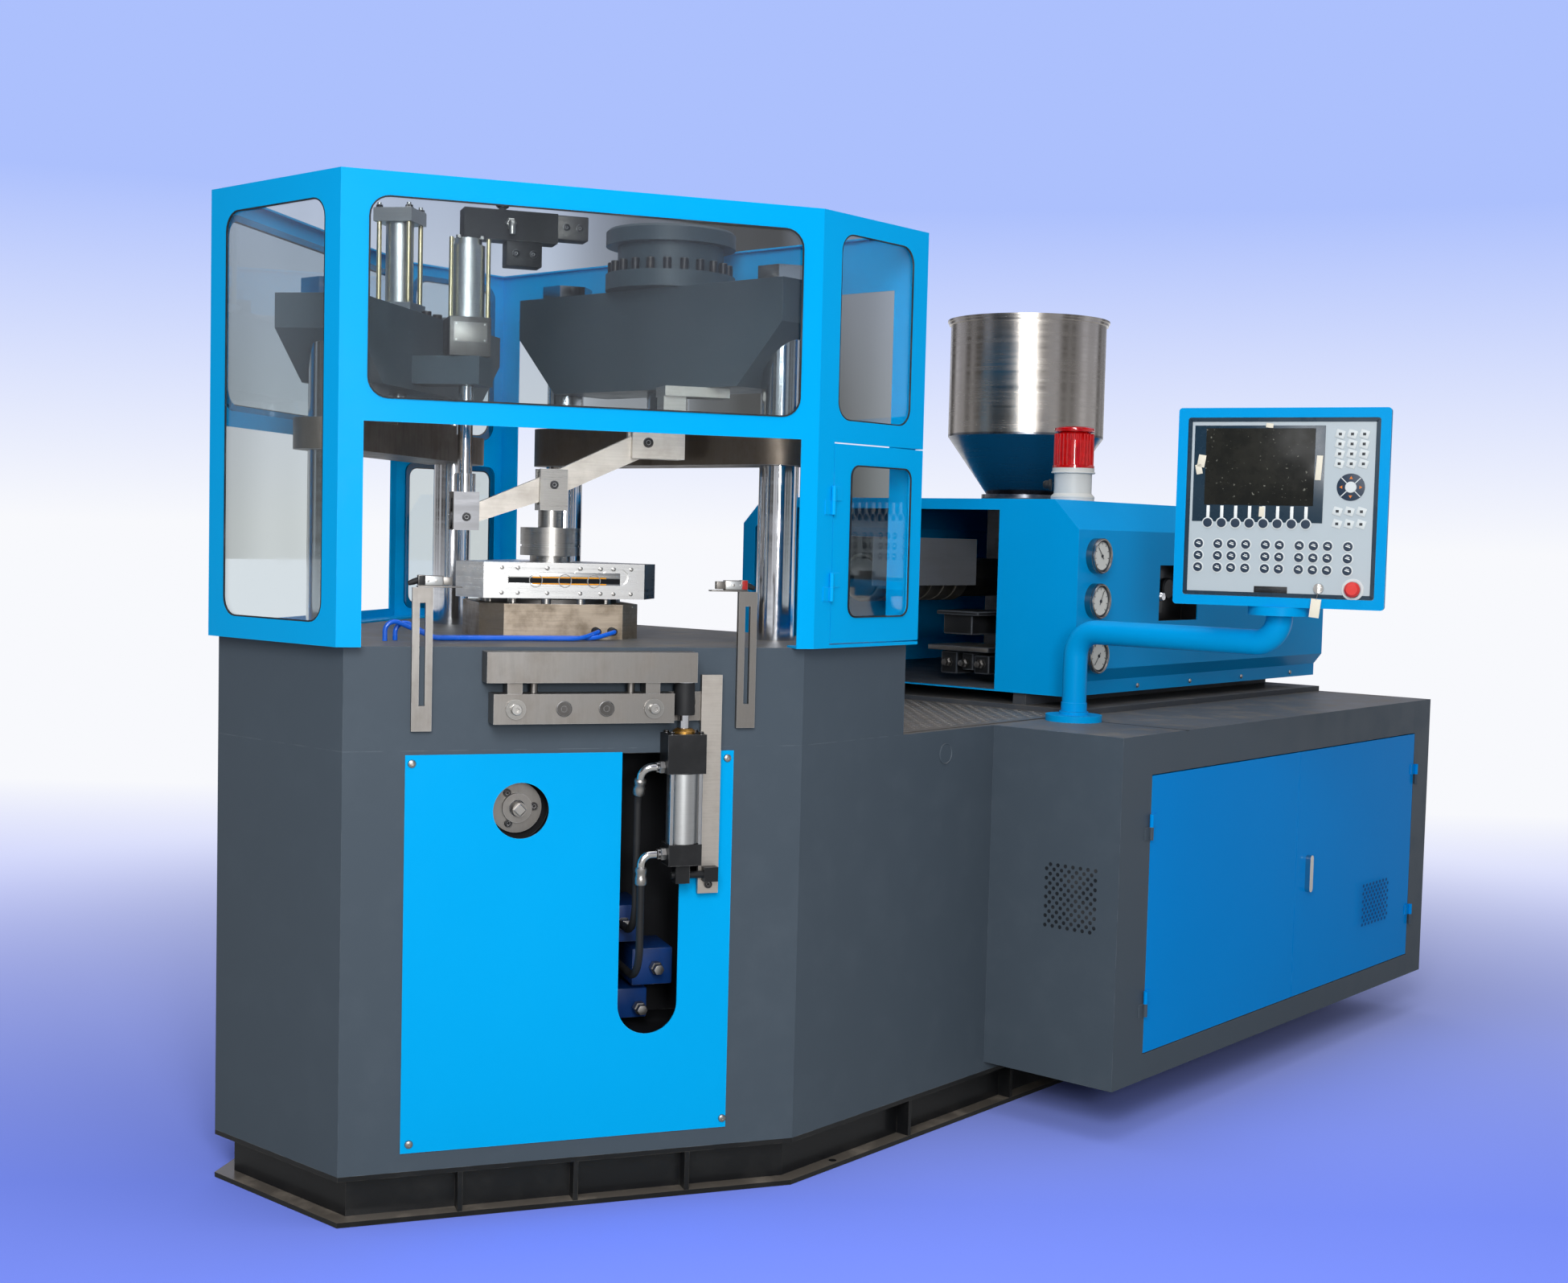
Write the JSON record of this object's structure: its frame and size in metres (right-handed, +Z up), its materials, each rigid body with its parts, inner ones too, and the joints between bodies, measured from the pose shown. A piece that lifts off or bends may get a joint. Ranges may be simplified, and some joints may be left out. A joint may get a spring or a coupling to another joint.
{
  "type": "blow moulding machine",
  "caption": "One-step injection blow moulding machine: indexing head and clamps under a glazed guard, stripper, injection unit with hopper, electric cabinet and operating terminal on an arm.",
  "frame": {"origin": "floor-level centre of the four anchor holes in the side flanges of the base frame", "axes": "+Y from the indexing head to the injection unit, +X towards the electric cabinet's side, +Z up"},
  "size_m": [2.2393, 3.422, 2.1249],
  "materials": {
    "blue_paint": "satin powder coat",
    "grey_paint": "satin powder coat",
    "black_paint": "satin",
    "steel": "machined",
    "chrome": "hard chrome",
    "casting": "painted casting",
    "pane": "clear sheet",
    "pale_paint": "matt",
    "tread": "tread pattern",
    "red_lens": "translucent",
    "grey_plastic": "matt",
    "black_rubber": "matt",
    "blue_tube": "satin",
    "dial": "gloss"
  },
  "bodies": {
    "machine": {"base_frame": "black_paint", "main_body": "grey_paint", "table_band": "grey_paint", "front_panel": "blue_paint", "shaft_flange": "steel", "rear_bed": "grey_paint", "chequer_deck": "tread", "electric_cabinet": "grey_paint", "guard_frame": "blue_paint", "front_window": "pane", "nose_window": "pane", "right_window": "pane", "injection_tie_bars": "chrome", "injection_head": "casting", "injection_cylinder": "casting", "blow_tie_bars": "chrome", "blow_head": "casting", "blow_cylinder": "steel", "index_base": "steel", "index_ring": "casting", "lift_cylinder": "steel", "lever_bracket": "steel", "valve_manifold": "steel", "sensor_brackets": "steel", "air_hoses": "blue_tube", "arm_flange": "blue_paint"},
    "cabinet_door_front": {"cabinet_door_front": "blue_paint"},
    "cabinet_door_rear": {"cabinet_door_rear": "blue_paint"},
    "door_handle": {"door_handle": "chrome"},
    "guard_door": {"guard_door": "blue_paint", "guard_door_window": "pane"},
    "injection_clamp": {"injection_platen": "casting", "injection_ram": "chrome"},
    "blow_clamp": {"blow_platen": "casting", "blow_ram": "chrome"},
    "lift_post": {"lift_post": "steel"},
    "index_table": {"index_head": "casting", "index_collar": "steel"},
    "lift_lever": {"lift_lever": "casting"},
    "lift_rod": {"lift_rod": "steel"},
    "stripper_slide": {"stripper_carriage": "steel", "stripper_guides": "chrome", "stripper_cylinder": "steel", "stripper_bracket": "steel", "stripper_hoses": "black_rubber"},
    "stripper_lift": {"stripper_top_plate": "steel", "stripper_rod": "chrome"},
    "injection_unit": {"injection_housing": "blue_paint", "injection_barrel": "casting", "barrel_cover": "steel", "hopper": "steel", "hopper_lid": "steel", "beacon_base": "grey_plastic", "beacon_lens": "red_lens", "gauges": "dial"},
    "terminal_arm": {"arm_pipe": "blue_paint"},
    "terminal": {"hmi_box": "blue_paint", "hmi_panel": "pale_paint"},
    "stop_button": {"stop_button": "red_lens"},
    "key_switch": {"key_switch": "chrome"}
  },
  "joints": [
    {"name": "cabinet_door_front_hinge", "type": "hinge", "parent": "machine", "child": "cabinet_door_front", "pos_m": [1.0555, -0.411, 0.52], "axis": [0, 0, -1], "range_deg": [0, 110]},
    {"name": "cabinet_door_rear_hinge", "type": "hinge", "parent": "machine", "child": "cabinet_door_rear", "pos_m": [1.0555, 1.154, 0.52], "axis": [0, 0, 1], "range_deg": [0, 110]},
    {"name": "door_handle_turn", "type": "hinge", "parent": "cabinet_door_rear", "child": "door_handle", "pos_m": [1.0495, 0.448, 0.518], "axis": [1, 0, 0], "range_deg": [0, 90]},
    {"name": "guard_door_hinge", "type": "hinge", "parent": "machine", "child": "guard_door", "pos_m": [0.7305, -1.22395, 1.376], "axis": [0, 0, -1], "range_deg": [0, 100]},
    {"name": "injection_clamp_stroke", "type": "slide", "parent": "machine", "child": "injection_clamp", "axis": [0, 0, 1], "range_m": [-0.15, 0]},
    {"name": "blow_clamp_stroke", "type": "slide", "parent": "machine", "child": "blow_clamp", "axis": [0, 0, 1], "range_m": [-0.15, 0]},
    {"name": "index_lift", "type": "slide", "parent": "machine", "child": "lift_post", "axis": [0, 0, 1], "range_m": [0, 0.02]},
    {"name": "index_turn", "type": "hinge", "parent": "lift_post", "child": "index_table", "pos_m": [0.1, -1.45, 1.28], "axis": [0, 0, 1], "continuous": true},
    {"name": "lift_lever_pivot", "type": "hinge", "parent": "machine", "child": "lift_lever", "pos_m": [0.207, -1.26467, 1.593], "axis": [-0.866, 0.5, 0], "range_deg": [0, 5.5]},
    {"name": "lift_rod_stroke", "type": "slide", "parent": "machine", "child": "lift_rod", "axis": [0, 0, 1], "range_m": [0, 0.0384]},
    {"name": "stripper_slide", "type": "slide", "parent": "machine", "child": "stripper_slide", "axis": [0.866, -0.5, 0], "range_m": [0, 0.12]},
    {"name": "stripper_lift", "type": "slide", "parent": "stripper_slide", "child": "stripper_lift", "axis": [0, 0, 1], "range_m": [0, 0.045]},
    {"name": "injection_unit_slide", "type": "slide", "parent": "machine", "child": "injection_unit", "axis": [0, 1, 0], "range_m": [0, 0.2]},
    {"name": "terminal_arm_swivel", "type": "hinge", "parent": "machine", "child": "terminal_arm", "pos_m": [0.751, -0.279, 1], "axis": [0, 0, 1], "range_deg": [-45, 60]},
    {"name": "terminal_swivel", "type": "hinge", "parent": "terminal_arm", "child": "terminal", "pos_m": [1.298, -0.29, 1.25], "axis": [0, 0, 1], "range_deg": [-60, 60]},
    {"name": "stop_button_press", "type": "slide", "parent": "terminal", "child": "stop_button", "axis": [-0.2924, 0.9563, 0], "range_m": [0, 0.004], "stiffness_N_per_m": 800, "springref_m": -0.001},
    {"name": "key_switch_turn", "type": "hinge", "parent": "terminal", "child": "key_switch", "pos_m": [1.40352, -0.32048, 1.3023], "axis": [0.2924, -0.9563, 0], "range_deg": [0, 90]}
  ],
  "couplings": [
    {"joint": "lift_lever_pivot", "follows": "index_lift", "rad_per_m": 4.766},
    {"joint": "lift_rod_stroke", "follows": "index_lift", "ratio": 1.9104}
  ]
}
